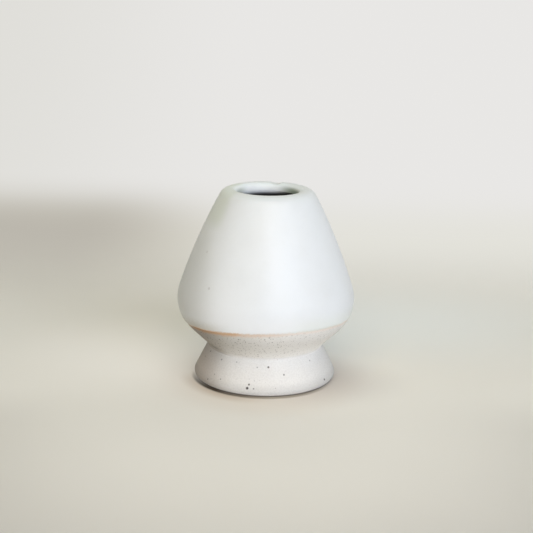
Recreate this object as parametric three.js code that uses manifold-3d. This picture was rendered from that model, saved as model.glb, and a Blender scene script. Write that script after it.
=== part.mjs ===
// Tea whisk holder: a hollow stoneware cone on a flared foot, with a white satin glaze.
//
// Millimetres, +Z up. The origin is the centre of the circle that the foot stands on, and the
// vent in the rim lies along +Y. The clay body and the clay foot are two turned forms, bonded by
// a ring of slip at the waist. The body was dipped in glaze with its mouth down, a little askew,
// and the chamber inside was glazed by pouring.
//
// Every turned form is one closed outline, revolved. An outline is a belt: straight stretches
// that touch a chain of circles. A circle that grows by some amount carries the whole outline
// outwards by that amount, which is how a coat of glaze follows the clay that it covers.
import * as THREE from 'three';
import { mergeVertices } from 'three/addons/utils/BufferGeometryUtils.js';
import Module from 'manifold-3d';

const wasm = await Module();
wasm.setup();

// Finished outside sizes, over the glaze
const overallHeight = 75;
const mouthDiameter = 23;
const lipRound = 2.8;
const rimLandWidth = 0.5;
const shoulderRound = 4.5;
const flankBow = 230;
const bellyDiameter = 69.6;
const bellyHeight = 31.8;
const bellyRound = 15.6;

// Waist and foot, in bare clay
const waistDiameter = 44.7;
const waistHeight = 13.5;
const footDiameter = 55.8;
const footRound = 1.8;
const footRingWidth = 5.6;
const footRingRound = 1.2;
const footWall = 5;

// Clay walls of the chamber
const bodyWall = 4;
const floorThickness = 4.2;
const floorRound = 6;
const throatDepth = 3.3;
const throatRound = 1.4;
const ceilingDepth = 14;
const ceilingRound = 3;

// Slip and glaze
const slipThickness = 0.8;
const slipBead = 0.3;
const coatThickness = 0.4;
const linerThickness = 0.4;
const rimWrap = 3;
const clearance = 0.3;

// The line that the dip left, as its height on the axis, and how far and which way the body leaned
const dipHeight = 23.9;
const dipLean = THREE.MathUtils.degToRad(5.2);
const dipTurn = THREE.MathUtils.degToRad(37.8);

// The vent: a shallow round groove across the back of the rim
const ventRadius = 4.4;
const ventDepth = 0.9;

// How finely round forms are faceted
const facetsRound = 48;
const ventFacets = 40;
const chordSag = 0.09;
const shortestEdge = 0.02;
const overrun = 2;

const coatReach = clearance + coatThickness;
const linerReach = clearance + linerThickness;
const mouthRadius = mouthDiameter / 2;
const rimLandRadius = mouthRadius + lipRound + rimLandWidth;
const throatRadius = mouthRadius + coatReach;
const waistRadius = waistDiameter / 2;
const footRadius = footDiameter / 2;
const bodyBase = waistHeight + slipThickness / 2 + clearance;
const footTop = waistHeight - slipThickness / 2 - clearance;
const floorTop = bodyBase + floorThickness;

// A circle of a belt, at a radius and a height. Clay is on the left of the belt as it runs, so a
// circle of clay has a positive size, a hollow has a negative one, and a corner has none.
const circle = (radius, height, size = 0) => ({ centre: new THREE.Vector2(radius, height), size });

// The direction, square to the stretch between two circles, that points from the clay to the air
function airSide(from, to) {
  const reach = to.centre.clone().sub(from.centre);
  const lean = THREE.MathUtils.clamp((from.size - to.size) / reach.length(), -1, 1);
  return reach.angle() - Math.acos(lean);
}

// How many straight facets stand in for an arc
function facetsOf(size, turn) {
  const radius = Math.max(Math.abs(size), chordSag);
  const facetTurn = 2 * Math.acos(1 - chordSag / radius);
  return Math.max(1, Math.ceil(Math.abs(turn) / facetTurn));
}

// The points of a belt: each circle's arc runs from the stretch before it to the stretch after. A
// grown belt keeps the facets of the one that it grew from, so that the two lie parallel.
function belt(circles, { grow = 0, closed = false } = {}) {
  const grown = circles.map(({ centre, size }) => ({ centre, size: size + grow }));
  const last = grown.length - 1;
  const stretches = grown.map((from, i) => airSide(from, grown[i < last ? i + 1 : 0]));
  const points = [];
  grown.forEach(({ centre, size }, i) => {
    const arriving = i > 0 ? stretches[i - 1] : stretches[closed ? last : 0];
    const leaving = i < last || closed ? stretches[i] : stretches[last - 1];
    const turn = Math.atan2(Math.sin(leaving - arriving), Math.cos(leaving - arriving));
    const facets = facetsOf(circles[i].size, turn);
    for (let k = 0; k <= facets; k += 1) {
      const angle = arriving + (turn * k) / facets;
      const point = new THREE.Vector2(Math.cos(angle), Math.sin(angle)).multiplyScalar(size).add(centre);
      const previous = points[points.length - 1];
      if (!previous || previous.distanceTo(point) > shortestEdge) points.push(point);
    }
  });
  return points;
}

// The centre of a circle of the given reach that passes over two others, with its hollow side to them
function overarchingCentre(a, reachFromA, b, reachFromB) {
  const between = b.clone().sub(a);
  const distance = between.length();
  const along = (reachFromA ** 2 - reachFromB ** 2 + distance ** 2) / (2 * distance);
  const aside = Math.sqrt(reachFromA ** 2 - along ** 2);
  const direction = between.normalize();
  const square = new THREE.Vector2(direction.y, -direction.x);
  return a.clone().addScaledVector(direction, along).addScaledVector(square, aside);
}

// A closed mesh with shared corners, as a solid that can be cut and joined
function solidOf(geometry) {
  const bare = geometry.clone();
  bare.deleteAttribute('normal');
  bare.deleteAttribute('uv');
  const merged = mergeVertices(bare);
  const corners = merged.index.array;
  const faces = [];
  for (let i = 0; i < corners.length; i += 3) {
    const [a, b, c] = corners.slice(i, i + 3);
    if (a !== b && b !== c && c !== a) faces.push(a, b, c);
  }
  const vertProperties = new Float32Array(merged.attributes.position.array);
  const mesh = new wasm.Mesh({ numProp: 3, vertProperties, triVerts: new Uint32Array(faces) });
  return new wasm.Manifold(mesh);
}

// An outline turned about the upright axis
function turned(points) {
  const geometry = new THREE.LatheGeometry(points, facetsRound);
  geometry.rotateX(Math.PI / 2);
  return solidOf(geometry);
}

// A ring whose outline runs along its air side and back along its other side
const turnedRing = (points) => turned([...points, points[0]]);

// The chain of circles that the clay body follows, from the waist over the rim to the chamber floor
const waist = circle(waistRadius, bodyBase);
const belly = circle(bellyDiameter / 2 - bellyRound, bellyHeight, bellyRound - coatReach);
const shoulderHeight = overallHeight - shoulderRound;
const shoulder = circle(rimLandRadius, shoulderHeight, shoulderRound - coatReach);
const flankCentre = overarchingCentre(
  shoulder.centre,
  flankBow - shoulderRound,
  belly.centre,
  flankBow - bellyRound,
);
const flank = circle(flankCentre.x, flankCentre.y, flankBow - coatReach);
const lip = circle(mouthRadius + lipRound, overallHeight - lipRound, lipRound - coatReach);
const outside = [waist, belly, flank, shoulder, lip];

// Inside, the flank and the belly run parallel to the outside, a wall's thickness in
const throat = circle(throatRadius + throatRound, overallHeight - throatDepth, throatRound);
const innerFlank = circle(flank.centre.x, flank.centre.y, bodyWall - flank.size);
const innerBelly = circle(belly.centre.x, belly.centre.y, bodyWall - belly.size);
const ceilingHeight = overallHeight - ceilingDepth;
const ceilingReach = -innerFlank.size - ceilingRound;
const ceilingRise = ceilingHeight - flank.centre.y;
const ceiling = circle(
  flank.centre.x + Math.sqrt(ceilingReach ** 2 - ceilingRise ** 2),
  ceilingHeight,
  -ceilingRound,
);
const underside = airSide(waist, belly);
const floorFillHeight = floorTop + floorRound;
const floorFillRadius =
  waistRadius -
  (bodyWall + floorRound - (bodyBase - floorFillHeight) * Math.sin(underside)) / Math.cos(underside);
const floorFill = circle(floorFillRadius, floorFillHeight, -floorRound);
const floorCentre = circle(0, floorTop);
const inside = [throat, ceiling, innerFlank, innerBelly, floorFill, floorCentre];
const wholeBody = [circle(0, bodyBase), ...outside, ...inside];

// The vent's groove, from the mouth out past the shoulder, widened by a given amount
function ventGroove(widening) {
  const radius = ventRadius + widening;
  const length = rimLandRadius + shoulderRound + overrun;
  const groove = new THREE.CylinderGeometry(radius, radius, length, ventFacets);
  groove.translate(0, length / 2, overallHeight - ventDepth + ventRadius);
  return solidOf(groove);
}

// The clay body: one wall from the waist to the rim and down round the chamber, with the vent cut out
function clayBody() {
  return turned(belt(wholeBody)).subtract(ventGroove(coatReach));
}

// The flared foot: an open collar that stands on its rounded ring
function clayFoot() {
  const ringInside = circle(footRadius - footRingWidth + footRingRound, footRingRound, footRingRound);
  const ringOutside = circle(footRadius - footRound, footRound, footRound);
  const topOutside = circle(waistRadius, footTop);
  const topInside = circle(waistRadius - footWall, footTop);
  return turnedRing(belt([ringInside, ringOutside, topOutside, topInside], { closed: true }));
}

// The slip between the two, squeezed into a small bead at the waist's crease and inside the foot
function jointSlip() {
  const beadSize = slipThickness / 2;
  const outer = circle(waistRadius + slipBead - beadSize, waistHeight, beadSize);
  const inner = circle(waistRadius - footWall - slipBead + beadSize, waistHeight, beadSize);
  return turnedRing(belt([inner, outer], { closed: true }));
}

// What the dip reached: all that lies above its tilted line
function dipped() {
  const bath = new THREE.CylinderGeometry(bellyDiameter, bellyDiameter, overallHeight, facetsRound);
  bath.rotateX(Math.PI / 2);
  bath.translate(0, 0, overallHeight / 2);
  bath.rotateX(-dipLean);
  bath.rotateZ(dipTurn);
  bath.translate(0, 0, dipHeight);
  return solidOf(bath);
}

// The outer glaze: a coat over the belly, flank and rim and down into the throat, which also lines
// the vent's groove
function outerGlaze() {
  const throatEnd = circle(throatRadius, overallHeight - rimWrap + clearance / 2);
  const covered = [...outside, throatEnd];
  const airFace = belt(covered, { grow: coatReach });
  const clayFace = belt(covered, { grow: clearance }).reverse();
  const coat = turnedRing([...airFace, ...clayFace]).intersect(dipped());
  const lining = turned(belt(wholeBody, { grow: coatReach })).intersect(ventGroove(coatThickness));
  return coat.add(lining).subtract(ventGroove(0));
}

// The liner glaze: the chamber's own coat, from the throat down over the wall and the floor
function linerGlaze() {
  const throatEnd = circle(throatRadius, overallHeight - rimWrap - clearance / 2);
  const covered = [throatEnd, ...inside];
  const airFace = belt(covered, { grow: linerReach });
  const clayFace = belt(covered, { grow: clearance }).reverse();
  return turned([...clayFace, ...airFace]);
}

const bareClay = { color: 0xc9c2b6, roughness: 0.92, metalness: 0 };
const satinGlaze = { color: 0xf0f3f3, roughness: 0.42, metalness: 0 };
const flashedSlip = { color: 0xb9b0a3, roughness: 0.95, metalness: 0 };

// A solid as a named mesh with its own material
function piece(name, solid, look) {
  const { numProp, vertProperties, triVerts } = solid.getMesh();
  const geometry = new THREE.BufferGeometry();
  geometry.setAttribute('position', new THREE.BufferAttribute(vertProperties, numProp));
  geometry.setIndex(new THREE.BufferAttribute(triVerts, 1));
  geometry.computeVertexNormals();
  const mesh = new THREE.Mesh(geometry, new THREE.MeshStandardMaterial(look));
  mesh.name = name;
  return mesh;
}

const holder = new THREE.Group();
holder.name = 'tea_whisk_holder';
holder.add(
  piece('clay_body', clayBody(), bareClay),
  piece('clay_foot', clayFoot(), bareClay),
  piece('joint_slip', jointSlip(), flashedSlip),
  piece('outer_glaze', outerGlaze(), satinGlaze),
  piece('liner_glaze', linerGlaze(), satinGlaze),
);

export default holder;
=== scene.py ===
import math
from typing import NamedTuple

import bmesh
import bpy
from bpy.props import FloatProperty, FloatVectorProperty, IntProperty, PointerProperty
from bpy.types import Operator, Panel, PropertyGroup
from mathutils import Matrix, Vector, noise


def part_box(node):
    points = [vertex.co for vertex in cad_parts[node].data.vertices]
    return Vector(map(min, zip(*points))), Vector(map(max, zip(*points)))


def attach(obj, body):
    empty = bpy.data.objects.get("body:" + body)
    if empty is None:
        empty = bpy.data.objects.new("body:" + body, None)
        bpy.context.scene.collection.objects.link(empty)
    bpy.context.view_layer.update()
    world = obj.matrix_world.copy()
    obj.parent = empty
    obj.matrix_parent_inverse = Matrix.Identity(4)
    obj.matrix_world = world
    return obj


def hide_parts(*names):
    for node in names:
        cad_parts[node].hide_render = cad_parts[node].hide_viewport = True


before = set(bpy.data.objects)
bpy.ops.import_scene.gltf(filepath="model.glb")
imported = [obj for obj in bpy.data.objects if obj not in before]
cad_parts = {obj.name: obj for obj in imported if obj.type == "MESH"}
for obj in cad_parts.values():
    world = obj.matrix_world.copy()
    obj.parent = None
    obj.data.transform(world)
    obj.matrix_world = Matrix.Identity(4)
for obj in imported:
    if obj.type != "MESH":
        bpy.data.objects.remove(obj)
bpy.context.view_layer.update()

bl_info = {
    "name": "Tea whisk holder",
    "version": (1, 0, 0),
    "blender": (4, 5, 0),
    "location": "View3D > Sidebar > Holder",
    "description": "A turned stoneware holder for a tea whisk, with a dipped glaze, and its studio",
    "category": "Object",
}

MM = 0.001
ORIGIN = Vector((0, 0, 0))
UP = Vector((0, 0, 1))
OUTLINE_AXIS = Vector((0, -1, 0))
FULL_TURN = math.tau
HALF_TURN = math.pi
UPRIGHT = math.radians(90)

# How near two corners are taken to be one, and the turn past which an edge between faces stays sharp
MERGE_REACH = 1e-7
SHARP_TURN = math.radians(38)

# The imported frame's own places, which the fine pieces keep to
_, foot_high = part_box("clay_foot")
slip_low, slip_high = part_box("joint_slip")
_, coat_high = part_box("outer_glaze")
liner_low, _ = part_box("liner_glaze")


def length(name, description, default):
    """A size in metres that a user can set."""
    return FloatProperty(name=name, description=description, default=default, unit="LENGTH", precision=5)


def turn(name, description, degrees):
    """An angle that a user can set."""
    return FloatProperty(name=name, description=description, default=math.radians(degrees), unit="ROTATION")


def tint(name, description, default):
    """A colour that a user can set."""
    limits = {"subtype": "COLOR", "min": 0, "max": 1}
    return FloatVectorProperty(name=name, description=description, default=default, **limits)


def light(name, description, default):
    """The strength of a light that a user can set."""
    return FloatProperty(name=name, description=description, default=default)


class HolderSizes(PropertyGroup):
    """The sizes of the holder's clay and glaze."""

    overall_height: length("Height", "From the table to the top of the rim", coat_high.z)
    mouth_diameter: length("Mouth", "Width between the mouth's glazed walls", 23 * MM)
    lip_round: length("Lip round", "Radius of the mouth's upper edge", 2.8 * MM)
    rim_land_width: length("Rim land", "Flat between the lip's and the shoulder's curves", 0.5 * MM)
    shoulder_round: length("Shoulder round", "Radius of the rim's outer edge", 4.5 * MM)
    flank_bow: length("Flank bow", "Radius of the cone's slightly bowed side", 230 * MM)
    belly_diameter: length("Belly", "Widest diameter", 2 * coat_high.x)
    belly_height: length("Belly height", "Height of the belly's centre of curvature", 31.8 * MM)
    belly_round: length("Belly round", "Radius of the belly's curve", 15.6 * MM)
    waist_diameter: length("Waist", "Width of the crease between body and foot", 44.7 * MM)
    waist_height: length("Waist height", "Height of the crease", (slip_low.z + slip_high.z) / 2)
    foot_diameter: length("Foot", "Width of the foot just above the table", 2 * foot_high.x)
    foot_round: length("Foot round", "Radius of the foot's outer lower edge", 1.8 * MM)
    ring_width: length("Foot ring", "Width of the ring that stands on the table", 5.6 * MM)
    ring_round: length("Foot ring round", "Radius of the ring's inner edge", 1.2 * MM)
    foot_wall: length("Foot wall", "Thickness of the foot at the waist", 5 * MM)
    body_wall: length("Body wall", "Thickness of the chamber's clay wall", 4 * MM)
    floor_height: length("Chamber floor", "Height of the chamber's glazed floor", liner_low.z)
    floor_round: length("Floor round", "Radius between the chamber's floor and wall", 6 * MM)
    throat_depth: length("Throat depth", "How far down the mouth's straight wall goes", 3.3 * MM)
    throat_round: length("Throat round", "Radius at the lower end of the throat", 1.4 * MM)
    ceiling_depth: length("Ceiling depth", "From the rim to where the ceiling turns down", 14 * MM)
    ceiling_round: length("Ceiling round", "Radius between the ceiling and the wall", 3 * MM)
    coat_thickness: length("Coat", "Thickness of the dipped glaze", 0.28 * MM)
    liner_thickness: length("Liner", "Thickness of the poured glaze", 0.2 * MM)
    rim_wrap: length("Rim wrap", "How far the dipped glaze goes down the throat", 3 * MM)
    slip_bead: length("Slip bead", "Radius of the slip squeezed out in the foot", 0.42 * MM)
    slip_fillet: length("Slip fillet", "Radius of the wiped hollow in the crease", 1.2 * MM)
    dip_height: length("Dip line", "Height of the glaze's line on the axis", 23.9 * MM)
    dip_lean: turn("Dip lean", "How far the body leaned as it was dipped", 5.2)
    dip_turn: turn("Dip turn", "Which way it leaned, from the front towards the right", 37.8)
    dip_ripple: length("Dip ripple", "How far the glaze's line wanders", 0.28 * MM)
    vent_depth: length("Vent depth", "Depth of the vent across the rim", 0.9 * MM)
    vent_place: length("Vent place", "How far right of the centre it is deepest", 0.8 * MM)
    vent_left: length("Vent left side", "Width of the vent's gentle side", 3.4 * MM)
    vent_right: length("Vent right side", "Width of the vent's steep side", 1.5 * MM)
    vent_softness: length("Vent softness", "Reach of the rounding along its edges", 0.4 * MM)
    unevenness: length("Unevenness", "How far the hand-finished wall wanders", 0.12 * MM)
    trimming_depth: length("Trimming marks", "Depth of the trimming tool's spiral", 0.09 * MM)


class HolderColours(PropertyGroup):
    """The colours of the clays and glazes, and the shares of them that painted shade leaves, with painted
    light by the joint and inside the lip.
    """

    satin: tint("Satin glaze", "The dipped white glaze", (0.875, 0.888, 0.892))
    satin_cloud: tint("Glaze clouding", "The glaze where it lies thinner", (0.824, 0.832, 0.822))
    # Partly the real thinning of the glaze at its line, partly painted shade: laid on the left side only,
    # up to 5 mm above the line
    thin_edge_and_shade: tint("Thin edge", "The glaze where it thins out over the line", (0.61, 0.58, 0.52))
    # Painted shade over the glaze's left side
    glaze_left_shade: tint("Flamed glaze", "Whiteness left on the flame's side", (0.80, 0.795, 0.78))
    # Painted shade over the glaze's front, right and back, above its line
    glaze_front_shade: tint("Greyed glaze", "Whiteness left by smoke, front and right", (0.932, 0.938, 0.942))
    # Darker and warmer low down near the glaze's line, on the right side
    low_glaze: tint("Low glaze", "Whiteness left low down, away from the flame", (0.945, 0.955, 0.915))
    # Painted shade high on the glaze's left side, greenish
    glaze_high_left_shade: tint("Olive glaze", "Whiteness left high on the flame's side", (0.90, 0.92, 0.85))
    # Painted light: the glaze inside the lip made brighter and bluer
    lip_painted_light: tint("Lip glaze", "The glaze where it runs thick inside the lip", (0.94, 0.975, 0.99))
    # Painted shade low inside the lip, greenish
    lip_shade: tint("Pooled glaze", "Whiteness left in the greener pools", (0.32, 0.36, 0.275))
    liner: tint("Throat glaze", "The poured glaze in the throat", (0.90, 0.95, 0.99))
    # Painted shade: the chamber's glaze below the throat, near black
    chamber_shade: tint("Chamber glaze", "The poured glaze, thin over the clay", (0.105, 0.10, 0.095))
    clay: tint("Clay", "The bare clay of the body", (0.83, 0.80, 0.75))
    foot_clay: tint("Foot clay", "The bare clay of the foot", (0.87, 0.855, 0.815))
    slip: tint("Slip", "The slip in the joint", (0.88, 0.855, 0.81))
    # Painted bounce light from the pale foot on the band near the joint
    joint_bounce_light: tint("Wiped clay", "The clay with slip wiped over it", (0.95, 0.92, 0.87))
    grain: tint("Grain", "The fine dark grain in the clay", (0.25, 0.22, 0.19))
    iron: tint("Iron", "The iron specks", (0.045, 0.032, 0.026))
    blush: tint("Blush", "The orange under the glaze's line, where it is strongest", (0.69, 0.45, 0.27))
    blush_pale: tint("Pale blush", "The orange where it is weakest", (0.86, 0.73, 0.62))
    # Painted shade over the left side of all the bare clay
    clay_left_shade: tint("Flashed side", "Paleness left on the flame's side", (0.665, 0.62, 0.595))
    # Painted shade over the band's left side
    band_left_shade: tint("Flashed band", "Paleness left of the body's band", (0.68, 0.675, 0.665))
    # Painted shade in the crease by the joint, on the left side
    band_crease_shade: tint("Sooty band", "Paleness left of the band by the joint", (0.72, 0.72, 0.70))
    # Painted shade over the slip's left side
    slip_left_shade: tint("Sooty slip", "Paleness left of the slip by the flame", (0.78, 0.76, 0.73))
    # Painted shade over the foot's right side
    far_side: tint("Far side", "Paleness left of the foot away from the flame", (0.85, 0.85, 0.85))
    # Painted shade on the foot near the table
    foot_low_shade: tint("Low foot", "Paleness left of the foot near the table", (0.78, 0.78, 0.78))
    # Painted contact shadow along the foot's lower outer edge
    foot_contact_shade: tint("Worn edge", "The grime in the foot's lower edge", (0.10, 0.082, 0.066))


class HolderStudio(PropertyGroup):
    """The studio round the holder, with the shares of the table's colour that soft shades leave."""

    table: tint("Table", "The pale floor", (0.925, 0.88, 0.825))
    table_cloud: tint("Table clouding", "The faint clouding of the floor", (0.5, 0.48, 0.42))
    # Painted cool shadow tint on the table
    cool_shadow_table: tint("Cool table", "The floor behind on the right", (0.955, 0.95, 0.935))
    # Painted pool of light: the glow's colour on the table's left
    bright_table: tint("Bright table", "The floor where it is brightest, on the left", (0.88, 0.845, 0.765))
    far_table: tint("Far table", "The floor far behind on the right", (0.77, 0.76, 0.705))
    far_left: tint("Far table left", "The floor far behind on the left", (0.61, 0.585, 0.512))
    far_shade: tint("Far shade", "The soft shade far behind on the left", (0.50, 0.475, 0.42))
    near_shade: tint("Near shade", "Paleness left beside the foot", (0.745, 0.745, 0.765))
    round_shade: tint("Round shade", "Paleness left close round the foot", (0.93, 0.915, 0.89))
    contact_shade: tint("Contact shade", "Paleness left where foot and table meet", (0.54, 0.515, 0.475))
    left_shade: tint("Left shade", "Paleness left on the foot's left", (0.74, 0.68, 0.62))
    deep_shade: tint("Deep shade", "Paleness left under the foot's left edge", (0.16, 0.13, 0.10))
    corner_shade: tint("Corner shade", "Paleness left in the near corners", (0.52, 0.52, 0.52))
    wall: tint("Wall", "The pale backdrop", (0.81, 0.80, 0.785))
    wall_left: tint("Wall left", "The backdrop far left", (0.745, 0.735, 0.70))
    key_power: light("Key", "Power of the cool soft light from the right", 6.58)
    high_power: light("High", "Power of the warm light from high in front", 3.94)
    top_power: light("Top", "Power of the light overhead", 1.2)
    air: light("Room light", "Strength of the even light of the room", 0.21)
    air_tint: tint("Room tint", "Colour of the even light", (0.95, 0.98, 1.0))


class HolderMesh(PropertyGroup):
    """How finely the pieces are made."""

    facets: IntProperty(name="Facets", description="Facets round a turned piece", default=256, min=48)
    slices: IntProperty(name="Slices", description="Slices of a turned piece", default=16, min=2)
    stride: length("Stride", "Longest step along an outline", 0.62 * MM)
    arc_turn: turn("Arc step", "Widest step round a curve of an outline", 10)


class Round(NamedTuple):
    """A circle that an outline passes: positive sizes are clay, negative are hollows, zero is a corner."""

    radius: float
    height: float
    size: float = 0.0

    def grown(self, by):
        """The same circle, wider by an amount."""
        return self._replace(size=self.size + by)

    def at(self, angle):
        """The point of the circle that lies in the given direction, in the outline's upright plane."""
        across, up = self.size * math.cos(angle), self.size * math.sin(angle)
        return Vector((self.radius + across, 0, self.height + up))


def air_side(a, b):
    """The direction, square to the stretch between two rounds, that points from the clay to the air."""
    across, rise = b.radius - a.radius, b.height - a.height
    lean = (a.size - b.size) / math.hypot(across, rise)
    return math.atan2(rise, across) - math.acos(max(-1.0, min(1.0, lean)))


def overarching(a, b, bow):
    """The round of a wide arc that passes over two others, with its hollow side to them."""
    start, between = Vector((a.radius, a.height)), Vector((b.radius - a.radius, b.height - a.height))
    reach_a, reach_b = bow - a.size, bow - b.size
    along = (reach_a**2 - reach_b**2 + between.length_squared) / (2 * between.length)
    aside = math.sqrt(reach_a**2 - along**2)
    direction = between.normalized()
    centre = start + direction * along + Vector((direction.y, -direction.x)) * aside
    return Round(centre.x, centre.y, bow)


class HolderForm:
    """The rounds of the holder's outlines, worked out from its sizes. Outside, they are the glaze's own."""

    def __init__(self, sizes):
        self.sizes = s = sizes
        top = s.overall_height
        self.belly_reach, self.foot_reach = s.belly_diameter / 2, s.foot_diameter / 2
        self.waist = Round(s.waist_diameter / 2, s.waist_height)
        self.foot_edge = Round(self.foot_reach - s.foot_round, s.foot_round, s.foot_round)
        self.belly = Round(self.belly_reach - s.belly_round, s.belly_height, s.belly_round)
        self.lip = Round(s.mouth_diameter / 2 + s.lip_round, top - s.lip_round, s.lip_round)
        self.shoulder = Round(self.lip.radius + s.rim_land_width, top - s.shoulder_round, s.shoulder_round)
        self.flank = overarching(self.shoulder, self.belly, s.flank_bow)
        self.clay_throat = s.mouth_diameter / 2 + s.coat_thickness
        wall_depth = s.body_wall + s.coat_thickness
        inner_flank = self.flank._replace(size=wall_depth - self.flank.size)
        inner_belly = self.belly._replace(size=wall_depth - self.belly.size)
        ceiling_height = top - s.ceiling_depth
        ceiling_reach = -inner_flank.size - s.ceiling_round
        ceiling_rise = ceiling_height - self.flank.height
        ceiling_radius = self.flank.radius + math.sqrt(ceiling_reach**2 - ceiling_rise**2)
        clay_floor = s.floor_height - s.liner_thickness
        fill_height = clay_floor + s.floor_round
        underside = air_side(self.waist, self.belly)
        slant = (s.waist_height - fill_height) * math.sin(underside)
        fill_radius = self.waist.radius - (wall_depth + s.floor_round - slant) / math.cos(underside)
        self.chamber = [
            Round(self.clay_throat + s.throat_round, top - s.throat_depth, s.throat_round),
            Round(ceiling_radius, ceiling_height, -s.ceiling_round),
            inner_flank,
            inner_belly,
            Round(fill_radius, fill_height, -s.floor_round),
            Round(0, clay_floor),
        ]
        self.ceiling_height = ceiling_height
        self.dip_centre = Vector((0, 0, s.dip_height))
        self.dip_normal = Matrix.Rotation(s.dip_turn, 3, "Z") @ Matrix.Rotation(-s.dip_lean, 3, "X") @ UP

    def outside(self, depth=0.0):
        """The outer outline from the waist to the lip, a given depth under the glazed surface."""
        covered = [part.grown(-depth) for part in (self.belly, self.flank, self.shoulder, self.lip)]
        return [self.waist, *covered]

    def throat_end(self, depth=0.0):
        """Where the dipped glaze ends in the throat."""
        s = self.sizes
        return Round(s.mouth_diameter / 2 + depth, s.overall_height - s.rim_wrap)

    def above_dip(self, place):
        """How far a place lies above the dip's plane, straight up."""
        return (place - self.dip_centre).dot(self.dip_normal) / self.dip_normal.z

    def ripple(self, place):
        """How far the glaze's line wanders up or down in the direction of a place."""
        around = Vector((place.x, place.y, 0)).normalized()
        slow = noise.noise(around * 3.1)
        quick = noise.noise(around * 11.0 + UP * 5)
        fine = noise.noise(around * 34.0 + UP * 9)
        return self.sizes.dip_ripple * (0.55 * slow + 0.5 * quick + 0.22 * fine)

    def wall_radius(self, height):
        """The glazed surface's radius at a height between the waist and the shoulder."""
        touch = self.belly.at(air_side(self.waist, self.belly))
        if height < touch.z:
            rise = (height - self.waist.height) / (touch.z - self.waist.height)
            return self.waist.radius + (touch.x - self.waist.radius) * rise
        over_belly = height > self.belly.at(air_side(self.belly, self.flank)).z
        part = self.flank if over_belly else self.belly
        return part.radius + math.sqrt(part.size**2 - (height - part.height) ** 2)

    def foot_outline(self):
        """The foot from its ring's inner edge round to the top of its inner wall."""
        s = self.sizes
        return [
            Round(self.foot_reach - s.ring_width + s.ring_round, s.ring_round, s.ring_round),
            self.foot_edge,
            self.waist,
            Round(self.waist.radius - s.foot_wall, s.waist_height),
        ]

    def foot_radius(self, height):
        """The foot's outer radius at a height on its slope."""
        touch = self.foot_edge.at(air_side(self.foot_edge, self.waist))
        drop = (self.waist.height - height) / (self.waist.height - touch.z)
        return self.waist.radius + (touch.x - self.waist.radius) * drop

    def slip_outline(self):
        """The slip, from its bead inside the foot to the hollow that fills the crease, a little sunk in."""
        s = self.sizes
        sunk = 0.04 * MM
        over, under = air_side(self.waist, self.belly), air_side(self.foot_edge, self.waist)
        middle, spread = (over + under) / 2, (under - over) / 2
        centre = self.waist.grown(s.slip_fillet / math.cos(spread) - sunk).at(middle)
        reach = s.slip_fillet * math.tan(spread)
        on_foot = self.waist.grown(reach).at(under - UPRIGHT) - Round(0, 0, sunk).at(under)
        on_body = self.waist.grown(reach).at(over + UPRIGHT) - Round(0, 0, sunk).at(over)
        return [
            Round(self.waist.radius - s.foot_wall - 0.1 * MM + s.slip_bead, s.waist_height, s.slip_bead),
            Round(on_foot.x, on_foot.z),
            Round(centre.x, centre.z, -s.slip_fillet),
            Round(on_body.x, on_body.z),
        ]


def chosen(context):
    """The form, the colours and the fineness that the user has set."""
    scene = context.scene
    return HolderForm(scene.holder_sizes), scene.holder_colours, scene.holder_mesh


def draw_on(bm, pen, step):
    """Extrudes the pen's corner by a step, and gives the new corner."""
    pen = bmesh.ops.extrude_vert_indiv(bm, verts=[pen])["verts"][0]
    bmesh.ops.translate(bm, verts=[pen], vec=step)
    return pen


def run_to(bm, pen, place, mesh):
    """Extrudes the pen's corner in even steps to a place, and gives the last corner."""
    away = place - pen.co
    if away.length < MERGE_REACH:
        return pen
    strides = math.ceil(away.length / mesh.stride)
    for _ in range(strides):
        pen = draw_on(bm, pen, away / strides)
    return pen


def swing(bm, pen, centre, angle, mesh):
    """Spins the pen's corner round a centre into an arc, and gives the last corner."""
    reach = (pen.co - centre).length
    steps = max(math.ceil(abs(angle) / mesh.arc_turn), math.ceil(abs(angle) * reach / mesh.stride))
    path = {"cent": centre, "axis": OUTLINE_AXIS, "dvec": ORIGIN, "angle": angle, "steps": steps}
    spun = bmesh.ops.spin(bm, geom=[pen], use_duplicate=False, **path)
    return next(part for part in spun["geom_last"] if isinstance(part, bmesh.types.BMVert))


def draw_outline(bm, rounds, mesh, closed=False):
    """Draws a run of arcs and straight stretches past the rounds, and gives its first and last corner."""
    around = rounds + rounds[:1] if closed else rounds
    leaving = [air_side(a, b) for a, b in zip(around, around[1:])]
    arriving = [leaving[-1] if closed else leaving[0]] + leaving
    leaving = leaving + leaving[-1:]
    first = pen = bm.verts.new(rounds[0].at(arriving[0]))
    for part, start, end in zip(rounds, arriving, leaving):
        pen = run_to(bm, pen, part.at(start), mesh)
        bend = math.remainder(end - start, FULL_TURN)
        if part.size and abs(bend) > MERGE_REACH:
            pen = swing(bm, pen, Vector((part.radius, 0, part.height)), bend, mesh)
    if closed:
        pen = run_to(bm, pen, first.co.copy(), mesh)
    return first, pen


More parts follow.
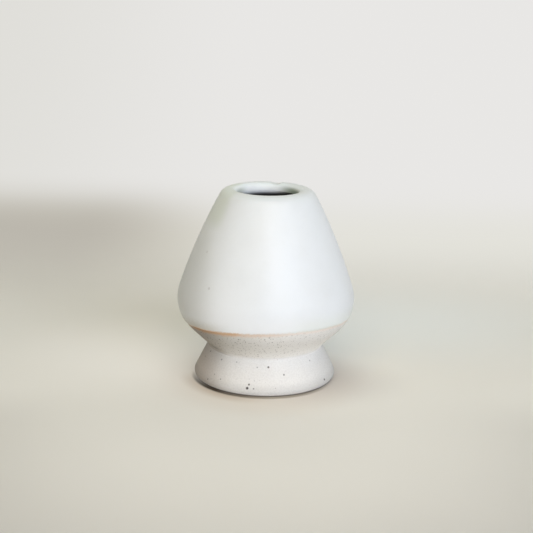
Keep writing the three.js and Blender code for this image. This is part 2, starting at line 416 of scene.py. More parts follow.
def turn_outline(bm, mesh):
    """Turns an outline about the upright axis, one slice first and then the rest as copies of it, and
    closes the seams and poles."""
    bmesh.ops.remove_doubles(bm, verts=bm.verts[:], dist=MERGE_REACH)
    slice_angle = FULL_TURN / mesh.slices
    about_axis = {"cent": ORIGIN, "axis": UP, "dvec": ORIGIN}
    outline = bm.verts[:] + bm.edges[:]
    steps = mesh.facets // mesh.slices
    bmesh.ops.spin(bm, geom=outline, angle=slice_angle, steps=steps, use_duplicate=False, **about_axis)
    cake = bm.verts[:] + bm.edges[:] + bm.faces[:]
    others = mesh.slices - 1
    rest = slice_angle * others
    bmesh.ops.spin(bm, geom=cake, angle=rest, steps=others, use_duplicate=True, **about_axis)
    bmesh.ops.remove_doubles(bm, verts=bm.verts[:], dist=MERGE_REACH)
    bmesh.ops.recalc_face_normals(bm, faces=bm.faces[:])


def turned(rounds, mesh, closed=False):
    """A mesh turned from an outline of rounds."""
    bm = bmesh.new()
    draw_outline(bm, rounds, mesh, closed)
    turn_outline(bm, mesh)
    return bm


def make_uneven(bm, form):
    """Draws the wall in by a little that wanders slowly, as on a form finished by hand."""
    for corner in bm.verts:
        around = Vector((corner.co.x, corner.co.y, 0))
        if around.length < MERGE_REACH:
            continue
        direction = around.normalized()
        slow = noise.noise(direction * 1.3 + UP * (corner.co.z / (24 * MM)))
        quick = noise.noise(direction * 3.7 + UP * (corner.co.z / (9 * MM)))
        drawn_in = form.sizes.unevenness * (0.5 + 0.38 * slow + 0.12 * quick)
        corner.co -= direction * min(drawn_in, around.length)


def press_vent(bm, form, depth):
    """Presses the vent's soft groove into the rim. The depth says how far below the glaze a corner is."""
    s = form.sizes
    top = s.overall_height
    for corner in bm.verts:
        if corner.co.y < 0 or corner.co.z < top - s.shoulder_round:
            continue
        aside = corner.co.x - s.vent_place
        width = s.vent_right if aside > 0 else s.vent_left
        groove = top - depth(corner) - s.vent_depth * (1 - (aside / width) ** 2)
        overlap = max(s.vent_softness - abs(corner.co.z - groove), 0) / s.vent_softness
        lowered = min(corner.co.z, groove) - overlap**2 * s.vent_softness / 4
        if groove < top + s.vent_softness:
            corner.co.z = min(corner.co.z, lowered)


def note_dip_line(bm, form):
    """Writes on each corner how far above the glaze's line it lies, for clay and glaze to colour by."""
    layer = bm.verts.layers.float.new("above_line")
    for corner in bm.verts:
        corner[layer] = form.above_dip(corner.co) - form.ripple(corner.co)


def new_object(name, data):
    """Places an object in the scene."""
    placed = bpy.data.objects.new(name, data)
    bpy.context.scene.collection.objects.link(placed)
    return placed


def formed(bm, name, material):
    """Makes an object of a finished mesh."""
    for face in bm.faces:
        face.smooth = True
    data = bpy.data.meshes.new(name)
    bm.to_mesh(data)
    bm.free()
    data.materials.append(material)
    return new_object(name, data)


def new_piece(bm, name, node, material):
    """Makes a finished mesh a piece that rides on the frame in its node's place."""
    bm.normal_update()
    for edge in bm.edges:
        edge.smooth = len(edge.link_faces) < 2 or edge.calc_face_angle(0) < SHARP_TURN
    piece = formed(bm, name, material)
    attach(piece, "root")
    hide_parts(node)


class Recipe:
    """A material for a form, put together node by node, with its colour and its relief so far."""

    def __init__(self, name, ground, form=None):
        self.form = form
        self.colour = ground
        self.normal = None
        self.material = bpy.data.materials.new(name)
        self.material.use_nodes = True
        self.tree = self.material.node_tree
        self.tree.nodes.clear()
        self.places = self.add("ShaderNodeTexCoord").outputs["Object"]

    def add(self, kind, inputs=None, **settings):
        """Adds a node. Each input is a value or another node's output."""
        node = self.tree.nodes.new(kind)
        for setting, value in settings.items():
            setattr(node, setting, value)
        for socket, value in (inputs or {}).items():
            if isinstance(value, bpy.types.NodeSocket):
                self.tree.links.new(value, node.inputs[socket])
            else:
                node.inputs[socket].default_value = value
        return node

    def sum(self, operation, a, b):
        """A sum with two values."""
        return self.add("ShaderNodeMath", {0: a, 1: b}, operation=operation).outputs[0]

    def vector(self, operation, *vectors):
        """A sum with vectors, whose results are a vector and a value."""
        return self.add("ShaderNodeVectorMath", dict(enumerate(vectors)), operation=operation).outputs

    def times(self, *shares):
        """The product of several shares."""
        total = shares[0]
        for factor in shares[1:]:
            total = self.sum("MULTIPLY", total, factor)
        return total

    def fade(self, value, low, high, start=0.0, end=1.0):
        """A smooth change from start to end as the value goes from low to high."""
        inputs = {"Value": value, "From Min": low, "From Max": high, "To Min": start, "To Max": end}
        return self.add("ShaderNodeMapRange", inputs, interpolation_type="SMOOTHSTEP").outputs["Result"]

    def eased(self, share, start, end=1.0):
        """A smooth change from start to end as a share goes from 0 to 1."""
        return self.fade(share, 0.0, 1.0, start, end)

    def blend(self, share, a, b, mode="MIX"):
        """Colour b laid over colour a, by a share."""
        node = self.add("ShaderNodeMix", data_type="RGBA", blend_type=mode)
        sockets = {socket.identifier: socket for socket in node.inputs}
        for name, value in (("Factor_Float", share), ("A_Color", a), ("B_Color", b)):
            if isinstance(value, bpy.types.NodeSocket):
                self.tree.links.new(value, sockets[name])
            else:
                sockets[name].default_value = value if name == "Factor_Float" else (*value, 1.0)
        return next(socket for socket in node.outputs if socket.identifier == "Result_Color")

    def lay(self, colour, *shares, mode="MIX"):
        """Lays a colour over the one so far, by the product of the shares."""
        self.colour = self.blend(self.times(*shares), self.colour, colour, mode)

    def dull(self, left, *shares):
        """Multiplies the colour so far by what is left of it, by the product of the shares."""
        self.lay(left, *shares, mode="MULTIPLY")

    def grain(self, size, detail=2.0, roughness=0.5, places=None):
        """Noise whose lumps are about the given size."""
        lumps = {"Scale": 1 / size, "Detail": detail, "Roughness": roughness}
        return self.add("ShaderNodeTexNoise", {"Vector": places or self.places, **lumps}).outputs["Fac"]

    def specks(self, spacing, reach, kept, softness=0.35):
        """Round specks on a jittered lattice: each cell has its own size, and only a share is kept."""
        cells = self.add("ShaderNodeTexVoronoi", {"Vector": self.places, "Scale": 1 / spacing})
        own = self.add("ShaderNodeSeparateColor", {"Color": cells.outputs["Color"]})
        size = self.eased(own.outputs["Red"], 0.45 * reach / spacing, reach / spacing)
        body = self.fade(cells.outputs["Distance"], self.times(size, 1 - softness), size, 1.0, 0.0)
        return self.times(body, self.sum("LESS_THAN", own.outputs["Green"], kept))

    def placed_specks(self, specks, softness=0.4):
        """Specks at named places."""
        total = 0.0
        for place, reach, strength in specks:
            away = self.vector("DISTANCE", self.places, place)["Value"]
            dot = self.fade(away, reach * (1 - softness), reach * (1 + softness), strength, 0.0)
            total = self.sum("MAXIMUM", dot, total)
        return total

    def along(self, direction):
        """How far a place lies from the origin in a direction."""
        return self.vector("DOT_PRODUCT", self.places, direction)["Value"]

    def towards(self, degrees):
        """How far a place lies from the axis at a turn from the front towards the right."""
        return self.along(around_axis(degrees, 1.0, 0.0))

    def off_axis(self):
        """How far a place lies from the upright axis."""
        flat = self.vector("MULTIPLY", self.places, (1, 1, 0))["Vector"]
        return self.vector("LENGTH", flat)["Value"]

    def above_line(self):
        """How far above the glaze's line the surface lies, as written on the piece."""
        return self.add("ShaderNodeAttribute", attribute_name="above_line").outputs["Fac"]

    def side(self, degrees, start, full, reach, most=1.0):
        """How much a place is on one side, from 0 to the most between two shares of a reach."""
        return self.fade(self.towards(degrees), start * reach, full * reach, 0.0, most)

    def shaded_side(self, start=0.34, full=0.72):
        """How far a place lies on the left side, which is in shade, between two shares of the belly's
        reach.
        """
        return self.side(SHADED_TURN, start, full, self.form.belly_reach)

    def blush(self):
        """How strong the blush is: from 0 far round the body to 1 in one narrow place."""
        wide = self.side(BLUSH_TURN, 0.42, 0.84, self.form.belly_reach, 0.55)
        narrow = self.side(BLUSH_TURN, 0.865, 0.90, self.form.belly_reach, 0.45)
        return self.sum("ADD", wide, narrow)

    def bump(self, height, distance, strength):
        """Adds to the relief so far."""
        inputs = {"Height": height, "Distance": distance, "Strength": strength}
        if self.normal:
            inputs["Normal"] = self.normal
        self.normal = self.add("ShaderNodeBump", inputs).outputs["Normal"]

    def finish(self, roughness, **uniform):
        """Sets the shader and gives the material. Uniform values go straight on the shader's sockets."""
        inputs = {"Base Color": self.colour, "Roughness": roughness, "Normal": self.normal}
        inputs.update({key.replace("_", " "): value for key, value in uniform.items()})
        shader = self.add("ShaderNodeBsdfPrincipled", inputs)
        self.add("ShaderNodeOutputMaterial", {"Surface": shader.outputs["BSDF"]})
        return self.material


def around_axis(degrees, radius, height):
    """The place at a turn from the front towards the right, a radius and a height."""
    angle = math.radians(degrees)
    return Vector((radius * math.sin(angle), -radius * math.cos(angle), height))


def darkened(colour, share):
    """A share of a colour."""
    return tuple(share * part for part in colour)


class Speck(NamedTuple):
    """An iron speck: its turn from the front towards the right, in degrees, its height and reach in mm."""

    turn: float
    height: float
    reach: float
    strength: float

    def placed(self, wall_radius):
        """Its place on a wall whose radius at a height is given, with its reach and strength."""
        height = self.height * MM
        return around_axis(self.turn, wall_radius(height), height), self.reach * MM, self.strength


# The specks that show most on the foot
FOOT_SPECKS = (
    Speck(15.6, 10.7, 0.38, 0.90),
    Speck(29.3, 7.9, 0.32, 0.80),
    Speck(-0.4, 4.5, 0.36, 0.92),
    Speck(-1.5, 3.2, 0.50, 1.00),
    Speck(3.7, 3.2, 0.30, 0.65),
    Speck(70.1, 2.9, 0.42, 0.85),
    Speck(-26.8, 4.5, 0.30, 0.50),
    Speck(-40.5, 2.9, 0.32, 0.65),
    Speck(-32.6, 11.0, 0.33, 0.60),
    Speck(-54, 11.8, 0.36, 0.60),
    Speck(-34.8, 5.4, 0.28, 0.45),
    Speck(5.4, 10.5, 0.28, 0.45),
    Speck(-15.2, 11.5, 0.28, 0.40),
    Speck(59.6, 11.0, 0.30, 0.45),
    Speck(-60, 9.0, 0.30, 0.45),
)

# The faint ones under the glaze
GLAZE_SPECKS = (Speck(-29.1, 41.5, 0.5, 0.9), Speck(-42.3, 53.5, 0.45, 0.7))

# Where the blush is strongest, the left side that lies in shade and gets most of the painted shade, and the
# side across from it, in degrees from the front towards the right
BLUSH_TURN = -28
SHADED_TURN = -78
FAR_TURN = 102


def shade_lip(mix, colours):
    """Painted shade low inside the lip: a greenish darkening on the right side, and a smaller one on the
    left.
    """
    mouth, lip = mix.form.clay_throat, mix.form.lip
    low = mix.fade(mix.along(UP), lip.height + 2.5 * MM, lip.height + 0.8 * MM)
    large, small = mix.side(FAR_TURN, 0.26, 0.88, mouth), mix.side(FAR_TURN, -0.64, -1, mouth, 0.65)
    inside = mix.fade(mix.off_axis(), lip.radius, lip.radius - 0.6 * MM)
    mix.dull(colours.lip_shade, low, mix.sum("MAXIMUM", large, small), inside)


def banded(mix, colours):
    """The body's band below the glaze: grainy, with painted shade in its middle, painted bounce light near
    the joint that is weaker on the shaded left, painted shade by the joint and over the left side, and the
    blush along the glaze's line."""
    up = mix.sum("SUBTRACT", mix.along(UP), mix.form.waist.height)
    middle = mix.times(mix.fade(up, 12 * MM, 9.6 * MM), mix.fade(up, 5 * MM, 8.6 * MM))
    fine, coarse = mix.specks(0.7 * MM, 0.27 * MM, 0.6), mix.specks(1.4 * MM, 0.42 * MM, 0.5)
    grainy = mix.times(mix.sum("MAXIMUM", fine, coarse), mix.eased(middle, 0.85))
    # Painted shade in the band's middle
    mix.lay(darkened(colours.clay, 0.92), middle, 0.85)
    # Painted bounce light near the joint, weaker on the shaded left
    mix.lay(colours.joint_bounce_light, mix.fade(up, 6 * MM, 0.6 * MM), mix.shaded_side(0.6, 0.36), 0.75)
    mix.lay(colours.grain, grainy, mix.eased(mix.shaded_side(-0.8, 0.5), 0.35, 0.75))
    # Painted shade in the crease by the joint, on the left side
    mix.dull(colours.band_crease_shade, mix.fade(up, 3.5 * MM, 0.5 * MM), mix.shaded_side(0.4, 0.58))
    # Painted shade over the band's left side
    mix.dull(colours.band_left_shade, mix.shaded_side(-0.16, 0.72))

    side = mix.blush()
    ragged = mix.fade(mix.grain(1.1 * MM, 3.0, 0.6), 0.3, 0.7, -1.3 * MM, -2.3 * MM)
    lower_end = mix.times(ragged, mix.eased(side, 0.75))
    blush = mix.blend(side, colours.blush_pale, colours.blush)
    blush = mix.blend(mix.times(mix.specks(1.5 * MM, 0.26 * MM, 0.5), 0.5), blush, colours.iron)
    mix.lay(blush, mix.fade(mix.above_line(), lower_end, -0.2 * MM), mix.eased(side, 0.5, 0.92))


def shade_slip(mix, colours):
    """The slip: painted shade on its left side, in the crease."""
    mix.dull(colours.slip_left_shade, mix.shaded_side(0.3, 0.5))


def shade_foot(mix, colours):
    """The foot: painted shade on its right side and near the table, and a painted contact shadow along its
    lower outer edge.
    """
    height, edge = mix.along(UP), mix.form.foot_edge.radius
    # Painted shade over the foot's right side
    mix.dull(colours.far_side, mix.side(FAR_TURN, 0.4, 1.05, mix.form.foot_reach))
    # Painted shade on the foot near the table
    mix.dull(colours.foot_low_shade, mix.fade(height, 5.5 * MM, 1.2 * MM))
    # Painted contact shadow along the lower outer edge, in a dark grime colour
    outer = mix.fade(mix.off_axis(), edge - 0.8 * MM, edge)
    mix.lay(colours.foot_contact_shade, mix.fade(height, 0.7 * MM, 0.1 * MM, 0.0, 0.92), outer)


def bare_clay(name, form, colours, ground, finish, placed=()):
    """Fired stoneware without glaze: a dry ground, fine dark grain, a few iron specks and turning marks.
    The finish is a function that colours it further, before the painted shade on its left side and the
    iron."""
    mix = Recipe(name, ground, form)
    sand = mix.grain(0.55 * MM, 3.0, 0.6)
    mix.lay(darkened(ground, 0.88), mix.fade(mix.grain(9 * MM, 3.0, 0.55), 0.3, 0.7, 0.0, 0.28))
    mix.lay(colours.grain, mix.fade(sand, 0.35, 0.75, 0.0, 0.12))
    finish(mix, colours)
    mix.lay(colours.grain, mix.specks(1.0 * MM, 0.17 * MM, 0.5), 0.3)
    mix.lay(colours.grain, mix.specks(2.6 * MM, 0.26 * MM, 0.4), 0.55)
    # Painted shade over the left side
    mix.dull(colours.clay_left_shade, mix.shaded_side())
    iron = mix.sum("MAXIMUM", mix.specks(9.5 * MM, 0.40 * MM, 0.2), mix.placed_specks(placed))
    mix.lay(colours.iron, iron, 0.94)
    wave = {"Vector": mix.places, "Scale": 1 / (4.4 * MM), "Distortion": 0.8, "Detail": 2.0}
    rings = mix.add("ShaderNodeTexWave", wave, wave_type="BANDS", bands_direction="Z")
    mix.bump(rings.outputs["Fac"], 0.02 * MM, 0.6)
    mix.bump(sand, 0.10 * MM, 0.7)
    mix.bump(mix.grain(0.22 * MM, 2.0, 0.6), 0.04 * MM, 0.6)
    return mix.finish(mix.fade(sand, 0.2, 0.8, 0.78, 0.94), Specular_IOR_Level=0.3)


def satin_glaze(name, form, colours):
    """The dipped white glaze: a soft sheen, faint clouding, pinholes, and clay that shows at its edge, with
    painted shade over its sides and in the lip, and painted light inside the lip.
    """
    mix = Recipe(name, colours.satin, form)
    fleck = mix.grain(1.3 * MM, 3.0, 0.55)
    mix.lay(colours.satin_cloud, mix.fade(mix.grain(14 * MM, 3.0, 0.5), 0.35, 0.75, 0.0, 0.45))
    mix.lay(colours.satin_cloud, mix.fade(fleck, 0.45, 0.8, 0.0, 0.16))
    placed = mix.placed_specks([speck.placed(form.wall_radius) for speck in GLAZE_SPECKS])
    mix.lay(colours.grain, mix.sum("MAXIMUM", mix.specks(5.5 * MM, 0.34 * MM, 0.2, 0.7), placed), 0.28)

    line, side = mix.above_line(), mix.blush()
    ragged = mix.fade(mix.grain(0.9 * MM, 3.0, 0.65), 0.25, 0.75, -0.30 * MM, 0.30 * MM)
    thin = mix.sum("ADD", line, ragged)
    # The glaze thinning at its line, laid only on the left side up to 5 mm above it, which is also painted
    # shade
    mix.lay(colours.thin_edge_and_shade, mix.fade(thin, 5 * MM, 0.2 * MM), mix.shaded_side(0.3, 0.8))
    blush = mix.blend(side, colours.blush_pale, colours.blush)
    mix.lay(blush, mix.fade(thin, 0.0, 0.9 * MM, 0.9, 0.0), mix.eased(side, 0.5))

    # Painted shade over the left side
    mix.dull(colours.glaze_left_shade, mix.shaded_side(0.5, 0.9))
    # Painted shade over the front, right and back, above the line
    mix.dull(colours.glaze_front_shade, mix.shaded_side(0.42, 0.0), mix.fade(line, MM, 8 * MM))
    # Darker and warmer low down near the line, on the right side
    far = mix.side(FAR_TURN, 0.1, 0.55, form.belly_reach)
    mix.dull(colours.low_glaze, mix.fade(line, 8 * MM, 1.5 * MM), far)
    # Painted shade high on the left side, greenish
    facing = mix.sum("DIVIDE", mix.towards(SHADED_TURN), mix.off_axis())
    high = mix.fade(mix.along(UP), form.ceiling_height - MM, form.ceiling_height + 5 * MM)
    mix.dull(colours.glaze_high_left_shade, mix.fade(facing, 0.68, 0.85), high)
    # Painted light inside the lip: brighter, bluer glaze
    lip = form.lip.radius
    mix.lay(colours.lip_painted_light, mix.fade(mix.off_axis(), lip - 0.2 * MM, lip - 2.2 * MM))
    # Painted shade low inside the lip
    shade_lip(mix, colours)

    pinholes = mix.specks(3.2 * MM, 0.11 * MM, 0.3, 0.5)
    mix.lay(colours.clay, pinholes, 0.35)
    mix.bump(mix.grain(5 * MM, 2.0, 0.45), 0.10 * MM, 0.35)
    mix.bump(fleck, 0.03 * MM, 0.35)
    mix.bump(mix.sum("SUBTRACT", 1.0, pinholes), 0.06 * MM, 0.5)
    sheen = {"Specular_IOR_Level": 0.5, "Coat_Weight": 0.12, "Coat_Roughness": 0.3}
    return mix.finish(mix.fade(fleck, 0.3, 0.8, 0.40, 0.50), **sheen)


def chamber_glaze(name, form, colours):
    """The poured glaze inside: a little glossier, with runs down the wall, painted shade below the throat
    that reaches higher on the right, and the lip's painted shade.
    """
    mix = Recipe(name, colours.liner, form)
    drawn_out = mix.add("ShaderNodeMapping", {"Vector": mix.places, "Scale": (1, 1, 0.25)})
    runs = mix.grain(5 * MM, 3.0, 0.5, drawn_out.outputs["Vector"])
    mix.lay(darkened(colours.liner, 0.88), mix.fade(runs, 0.35, 0.7, 0.0, 0.6))
    # Painted shade: near black below the throat, reaching up to 1.6 mm higher on the right
    throat = form.chamber[0]
    height = mix.sum("SUBTRACT", mix.along(UP), mix.side(FAR_TURN, 0, 1, throat.radius, 1.6 * MM))
    mix.lay(colours.chamber_shade, mix.fade(height, throat.height + 0.4 * MM, throat.height - 1.4 * MM))
    # Painted shade low inside the lip
    shade_lip(mix, colours)
    mix.lay(colours.clay, mix.specks(4.5 * MM, 0.3 * MM, 0.25, 0.7), 0.3)
    mix.bump(runs, 0.12 * MM, 0.4)
    return mix.finish(mix.fade(runs, 0.3, 0.8, 0.28, 0.4), Specular_IOR_Level=0.5)


class HOLDER_OT_clay_body(Operator):
    """Turn the clay body, from its base over the rim to the chamber's floor"""

    bl_idname = "holder.clay_body"
    bl_label = "Clay body"

    def execute(self, context):
        form, colours, mesh = chosen(context)
        s = form.sizes
        bm = turned([Round(0, s.waist_height), *form.outside(s.coat_thickness), *form.chamber], mesh)
        self.trim_base(bm, s)
        make_uneven(bm, form)
        press_vent(bm, form, lambda corner: s.coat_thickness)
        note_dip_line(bm, form)
        clay = bare_clay("body_stoneware", form, colours, colours.clay, banded)
        new_piece(bm, "stoneware_body", "clay_body", clay)
        return {"FINISHED"}

    def trim_base(self, bm, s):
        """Cuts the trimming tool's spiral into the base, which shows inside the foot."""
        pitch = 2.7 * MM
        faded = 2 * MM
        for corner in bm.verts:
            if corner.co.z > s.waist_height + MERGE_REACH:
                continue
            radius = math.hypot(corner.co.x, corner.co.y)
            spiral = radius / pitch + math.atan2(corner.co.y, corner.co.x) / FULL_TURN
            inside = min(max((s.waist_diameter / 2 - s.foot_wall - radius) / faded, 0), 1)
            corner.co.z += s.trimming_depth * inside * (1 + math.cos(FULL_TURN * spiral))


class HOLDER_OT_clay_foot(Operator):
    """Turn the flared foot, an open collar that stands on its ring"""

    bl_idname = "holder.clay_foot"
    bl_label = "Clay foot"

    def execute(self, context):
        form, colours, mesh = chosen(context)
        bm = turned(form.foot_outline(), mesh, closed=True)
        make_uneven(bm, form)
        placed = [speck.placed(form.foot_radius) for speck in FOOT_SPECKS]
        clay = bare_clay("foot_stoneware", form, colours, colours.foot_clay, shade_foot, placed)
        new_piece(bm, "stoneware_foot", "clay_foot", clay)
        return {"FINISHED"}


class HOLDER_OT_slip_seam(Operator):
    """Lay the ring of slip that bonds the foot to the body"""

    bl_idname = "holder.slip_seam"
    bl_label = "Slip seam"

    def execute(self, context):
        form, colours, mesh = chosen(context)
        bm = turned(form.slip_outline(), mesh, closed=True)
        make_uneven(bm, form)
        slip = bare_clay("fired_slip", form, colours, colours.slip, shade_slip)
        new_piece(bm, "slip_seam", "joint_slip", slip)
        return {"FINISHED"}


class HOLDER_OT_glaze_coat(Operator):
    """Dip the body: a thin coat over belly, flank and rim that thins out at its tilted line"""

    bl_idname = "holder.glaze_coat"
    bl_label = "Glaze coat"

    def execute(self, context):
        form, colours, mesh = chosen(context)
        s = form.sizes
        bm = bmesh.new()
        air = bm.verts.layers.float.new("air_face")
        inner = [*form.outside(s.coat_thickness), form.throat_end(s.coat_thickness)]
        outer = [form.waist.grown(s.coat_thickness), *form.outside()[1:], form.throat_end()]
        clay_first, clay_last = draw_outline(bm, inner, mesh)
        clay_face = set(bm.verts)
        air_first, air_last = draw_outline(bm, outer, mesh)
        for corner in bm.verts:
            corner[air] = 0.0 if corner in clay_face else 1.0
        swing(bm, air_last, (air_last.co + clay_last.co) / 2, HALF_TURN, mesh)
        bmesh.ops.contextual_create(bm, geom=[clay_first, air_first])
        turn_outline(bm, mesh)
        self.cut_at_line(bm, form, air)
        make_uneven(bm, form)
        press_vent(bm, form, lambda corner: s.coat_thickness * (1 - corner[air]))
        note_dip_line(bm, form)
        glaze = satin_glaze("satin_white", form, colours)
        new_piece(bm, "satin_coat", "outer_glaze", glaze)
        return {"FINISHED"}

    def cut_at_line(self, bm, form, air):
        """Cuts the coat at the dip's plane, lets the cut wander, and thins the coat out towards it."""
        edge_width, thinned = 1.1 * MM, 0.94 * form.sizes.coat_thickness
        wandering = 4 * edge_width
        for share_up in (1.0, 0.72, 0.48, 0.28, 0.12, 0.0):
            start = form.dip_centre + UP * (edge_width * share_up)
            everything = bm.verts[:] + bm.edges[:] + bm.faces[:]
            plane = {"plane_co": start, "plane_no": form.dip_normal, "clear_inner": share_up == 0}
            bmesh.ops.bisect_plane(bm, geom=everything, dist=MERGE_REACH, **plane)
        bm.normal_update()
        for corner in bm.verts:
            above = form.above_dip(corner.co)
            if above > wandering:
                continue
            if corner[air] > 0.5 and above < edge_width:
                slope = 1 - max(above, 0) / edge_width
                corner.co -= corner.normal * thinned * (1 - math.sqrt(1 - slope**2))
            height = corner.co.z + form.ripple(corner.co) * (1 - max(above, 0) / wandering) ** 2
            stretch = form.wall_radius(height) / form.wall_radius(corner.co.z)
            corner.co = (corner.co.x * stretch, corner.co.y * stretch, height)
        bmesh.ops.bridge_loops(bm, edges=[edge for edge in bm.edges if edge.is_boundary])
        bmesh.ops.recalc_face_normals(bm, faces=bm.faces[:])


class HOLDER_OT_chamber_coat(Operator):
    """Pour the chamber's glaze, from the throat down over the wall and the floor"""

    bl_idname = "holder.chamber_coat"
    bl_label = "Chamber coat"

    def execute(self, context):
        form, colours, mesh = chosen(context)
        s = form.sizes
        bm = bmesh.new()
        end, floor = Round(form.clay_throat, s.overall_height - s.rim_wrap + 0.5 * MM), form.chamber[-1]
        clay_first, _ = draw_outline(bm, [end, *form.chamber], mesh)
        pour_end = end._replace(radius=end.radius - s.liner_thickness)
        pour_floor = floor._replace(height=floor.height + s.liner_thickness)
        covered = [part.grown(s.liner_thickness) for part in form.chamber[:-1]]
        air_first, _ = draw_outline(bm, [pour_end, *covered, pour_floor], mesh)
        swing(bm, air_first, (air_first.co + clay_first.co) / 2, -HALF_TURN, mesh)
        turn_outline(bm, mesh)
        make_uneven(bm, form)
        glaze = chamber_glaze("chamber_white", form, colours)
        new_piece(bm, "chamber_coat", "liner_glaze", glaze)
        return {"FINISHED"}


class Lamp(NamedTuple):
    """A soft square lamp 1 m away: its turn from the front towards the right and its rise, in degrees."""

    name: str
    turn: float
    rise: float
    size: float
    power: float
    colour: tuple


class Patch(NamedTuple):
    """A soft patch on the table: its middle, to the right of the axis and behind it, and its reach, in mm,
    and the share of the reach that it covers in full."""

    across: float
    back: float
    reach_across: float
    reach_back: float
    core: float = 0.0


# Where the table gets a painted cool shadow tint, painted shades or a painted pool of light, and how much
# of a glow its bright side has
COOL_SHADOW_PATCH = Patch(55, 75, 120, 85)
NEAR_PATCH = Patch(18, -8, 44, 34)
ROUND_PATCH = Patch(0, -6, 45, 47, 0.55)
CONTACT_PATCH = Patch(-0.3, -0.8, 29.4, 29.4, 0.94)
LEFT_PATCH = Patch(-1, -2, 34, 34, 0.8)
DEEP_PATCH = Patch(-0.9, -0.8, 28.4, 28.4, 0.96)
MIDDLE_PATCH = Patch(0, -40, 200, 200, 0.22)
BRIGHT_PATCH = Patch(-45, 16, 80, 66)
BRIGHT_GLOW = 0.36

# The view: the vent is a little right of the back, and the camera looks down at the holder
VIEW_DEGREES = 12
VIEW_TURN = math.radians(VIEW_DEGREES)
VIEW_DISTANCE = 449.8 * MM
VIEW_HEIGHT = 163.1 * MM
VIEW_DROP = math.radians(14.836)
VIEW_ROLL = math.radians(1.164)
LENS = 80.26
SENSOR = 36


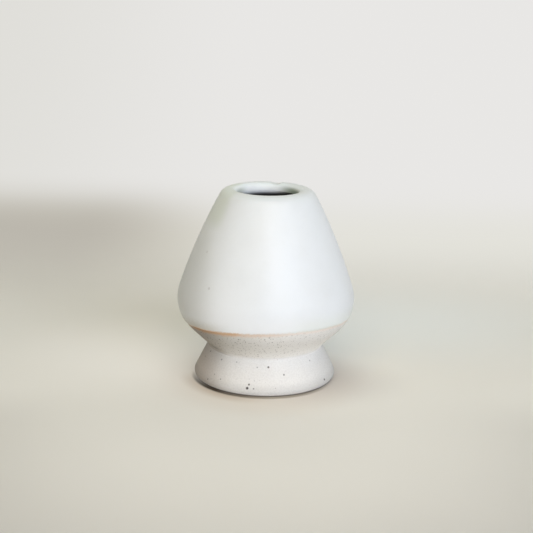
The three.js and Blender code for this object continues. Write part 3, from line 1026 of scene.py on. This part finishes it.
class HOLDER_OT_studio(Operator):
    """Set up the table, the backdrop, the lamps and the camera"""

    bl_idname = "holder.studio"
    bl_label = "Studio"

    def execute(self, context):
        scene = context.scene
        self.sweep(scene)
        self.lamps(scene)
        self.room(scene)
        self.camera(scene)
        scene.view_settings.view_transform = "Standard"
        return {"FINISHED"}

    def sweep(self, scene):
        """The table runs back into the wall in one wide curve."""
        front, back, width = -1.6, 0.34, 4.0
        curve, wall = 0.26, 1.3
        bm = bmesh.new()
        pen = draw_on(bm, bm.verts.new((front, 0, 0)), (back - front, 0, 0))
        pen = swing(bm, pen, Vector((back, 0, curve)), UPRIGHT, scene.holder_mesh_of_stage)
        draw_on(bm, pen, (0, 0, wall))
        widened = bmesh.ops.extrude_edge_only(bm, edges=bm.edges[:])
        far_side = [part for part in widened["geom"] if isinstance(part, bmesh.types.BMVert)]
        bmesh.ops.translate(bm, verts=far_side, vec=(0, width, 0))
        bmesh.ops.translate(bm, verts=bm.verts[:], vec=(0, -width / 2, 0))
        facing = Matrix.Rotation(UPRIGHT + VIEW_TURN, 3, "Z")
        bmesh.ops.rotate(bm, verts=bm.verts[:], cent=ORIGIN, matrix=facing)
        bmesh.ops.recalc_face_normals(bm, faces=bm.faces[:])
        sweep = formed(bm, "studio_sweep", self.sweep_finish(scene.holder_studio))

    def sweep_finish(self, studio):
        """Warm paper on the table. The camera and the gloss see soft shades on it, and a glow in the pale
        colours of its bright side and of the backdrop."""
        mix = Recipe("studio_paper", studio.table)
        back, across = mix.towards(VIEW_DEGREES + 180), mix.towards(VIEW_DEGREES + 90)
        spot = mix.add("ShaderNodeCombineXYZ", {0: across, 1: back}).outputs[0]
        rays = mix.add("ShaderNodeLightPath").outputs
        seen = mix.sum("MAXIMUM", rays["Is Camera Ray"], rays["Is Glossy Ray"])

        def patch(place):
            """A share that is 1 in a patch's middle and falls smoothly to 0, as the camera sees it."""
            away = mix.vector("SUBTRACT", spot, Vector((place.across, place.back, 0)) * MM)["Vector"]
            reach = Vector((place.reach_across, place.reach_back, 1)) * MM
            away = mix.vector("LENGTH", mix.vector("DIVIDE", away, reach)["Vector"])["Value"]
            return mix.times(mix.fade(away, 1.0, place.core), seen)

        mix.lay(studio.table_cloud, mix.fade(mix.grain(120 * MM, 2.0, 0.5), 0.3, 0.7, 0.0, 0.05))
        # Painted cool shadow tint behind on the right
        mix.lay(studio.cool_shadow_table, patch(COOL_SHADOW_PATCH))
        mix.dull(studio.near_shade, patch(NEAR_PATCH))
        mix.dull(studio.round_shade, patch(ROUND_PATCH))
        front, right = mix.fade(back, 4 * MM, -12 * MM), mix.fade(across, 30 * MM, 15 * MM)
        mix.dull(studio.contact_shade, patch(CONTACT_PATCH), front, right)
        left = mix.times(mix.fade(across, 6 * MM, -19 * MM), mix.fade(back, 2 * MM, -12 * MM))
        mix.dull(studio.left_shade, patch(LEFT_PATCH), left)
        deep = mix.times(patch(DEEP_PATCH), left)
        mix.dull(studio.deep_shade, deep)
        outside = mix.sum("SUBTRACT", seen, patch(MIDDLE_PATCH))
        mix.dull(studio.corner_shade, outside, mix.fade(back, -20 * MM, -60 * MM))
        mix.bump(mix.grain(1.2 * MM, 3.0, 0.6), 0.02 * MM, 0.3)
        mix.finish(0.85, Specular_IOR_Level=0.2)

        wall = mix.blend(mix.fade(across, 0.0, -0.24), studio.wall, studio.wall_left)
        near = mix.blend(mix.fade(across, 0.05, -0.11), studio.far_table, studio.far_left)
        pale = mix.blend(mix.fade(back, 0.22, 0.40), near, wall)
        shaded = mix.times(mix.fade(across, -0.03, -0.115), mix.fade(back, 0.40, 0.24))
        pale = mix.blend(shaded, pale, studio.far_shade)
        far = mix.fade(back, 0.04, 0.245)
        # Painted pool of light on the table's left: a glow that the camera and the gloss see, kept off the
        # backdrop and out of the painted shade under the foot's left edge
        unlit = mix.times(deep, mix.fade(back, -6 * MM, -23 * MM), mix.fade(across, -13 * MM, -20 * MM))
        lit = mix.times(patch(BRIGHT_PATCH), *(mix.sum("SUBTRACT", 1.0, share) for share in (far, unlit)))
        pale = mix.blend(mix.sum("DIVIDE", far, mix.sum("ADD", far, lit)), studio.bright_table, pale)
        glow = mix.add("ShaderNodeEmission", {"Color": pale, "Strength": 1.0}).outputs[0]
        share = mix.times(mix.sum("ADD", far, mix.times(lit, BRIGHT_GLOW)), seen)
        surfaces = {0: share, 1: mix.tree.nodes["Principled BSDF"].outputs[0], 2: glow}
        both = mix.add("ShaderNodeMixShader", surfaces).outputs[0]
        mix.tree.links.new(both, mix.tree.nodes["Material Output"].inputs["Surface"])
        return mix.material

    def lamps(self, scene):
        """Three soft lamps that face the holder's middle."""
        studio = scene.holder_studio
        lamps = (
            Lamp("key", 37, 20, 0.8, studio.key_power, (0.70, 0.795, 1.0)),
            Lamp("high", 12, 50, 0.8, studio.high_power, (1.0, 0.80, 0.505)),
            Lamp("top", 12, 90, 1.0, studio.top_power, (0.5, 1.0, 0.93)),
        )
        middle = Vector((0, 0, scene.holder_sizes.overall_height / 2))
        for lamp in lamps:
            data = bpy.data.lights.new(lamp.name, "AREA")
            data.shape = "SQUARE"
            data.size = lamp.size
            data.energy = lamp.power
            data.color = lamp.colour
            rise = math.radians(lamp.rise)
            outward = around_axis(lamp.turn, math.cos(rise), math.sin(rise))
            stand = new_object(lamp.name, data)
            stand.location = middle + outward
            stand.rotation_euler = outward.to_track_quat("Z", "Y").to_euler()

    def room(self, scene):
        """An even light from all round."""
        world = bpy.data.worlds.new("room")
        world.use_nodes = True
        background = world.node_tree.nodes["Background"]
        background.inputs["Color"].default_value = (*scene.holder_studio.air_tint, 1.0)
        background.inputs["Strength"].default_value = scene.holder_studio.air
        scene.world = world

    def camera(self, scene):
        """The camera that sees the holder from the front."""
        data = bpy.data.cameras.new("view")
        data.lens = LENS
        data.sensor_width = SENSOR
        facing, tilt = Matrix.Rotation(VIEW_TURN, 3, "Z"), Matrix.Rotation(UPRIGHT - VIEW_DROP, 3, "X")
        camera = scene.camera = new_object("view", data)
        camera.rotation_euler = (facing @ tilt @ Matrix.Rotation(VIEW_ROLL, 3, "Z")).to_euler()
        camera.location = facing @ Vector((0, -VIEW_DISTANCE, VIEW_HEIGHT))


class HOLDER_PT_pieces(Panel):
    """The pieces of the holder and its studio"""

    bl_label = "Tea whisk holder"
    bl_space_type = "VIEW_3D"
    bl_region_type = "UI"
    bl_category = "Holder"

    def draw(self, context):
        for operator in OPERATORS:
            self.layout.operator(operator.bl_idname)
        for group in GROUPS:
            settings = getattr(context.scene, group)
            box = self.layout.box()
            for prop in settings.bl_rna.properties:
                if prop.identifier not in ("rna_type", "name"):
                    box.prop(settings, prop.identifier)


GROUPS = {
    "holder_sizes": HolderSizes,
    "holder_colours": HolderColours,
    "holder_mesh": HolderMesh,
    "holder_mesh_of_stage": HolderMesh,
    "holder_studio": HolderStudio,
}
OPERATORS = (
    HOLDER_OT_clay_body,
    HOLDER_OT_clay_foot,
    HOLDER_OT_slip_seam,
    HOLDER_OT_glaze_coat,
    HOLDER_OT_chamber_coat,
    HOLDER_OT_studio,
)
CLASSES = (HolderSizes, HolderColours, HolderStudio, HolderMesh, *OPERATORS, HOLDER_PT_pieces)


def register():
    for cls in CLASSES:
        bpy.utils.register_class(cls)
    for name, group in GROUPS.items():
        setattr(bpy.types.Scene, name, PointerProperty(type=group))


def unregister():
    for name in GROUPS:
        delattr(bpy.types.Scene, name)
    for cls in reversed(CLASSES):
        bpy.utils.unregister_class(cls)


def main():
    register()
    bpy.context.scene.holder_mesh_of_stage.stride = 20 * MM
    bpy.ops.holder.clay_body()
    bpy.ops.holder.clay_foot()
    bpy.ops.holder.slip_seam()
    bpy.ops.holder.glaze_coat()
    bpy.ops.holder.chamber_coat()
    bpy.ops.holder.studio()


if __name__ == "__main__":
    main()
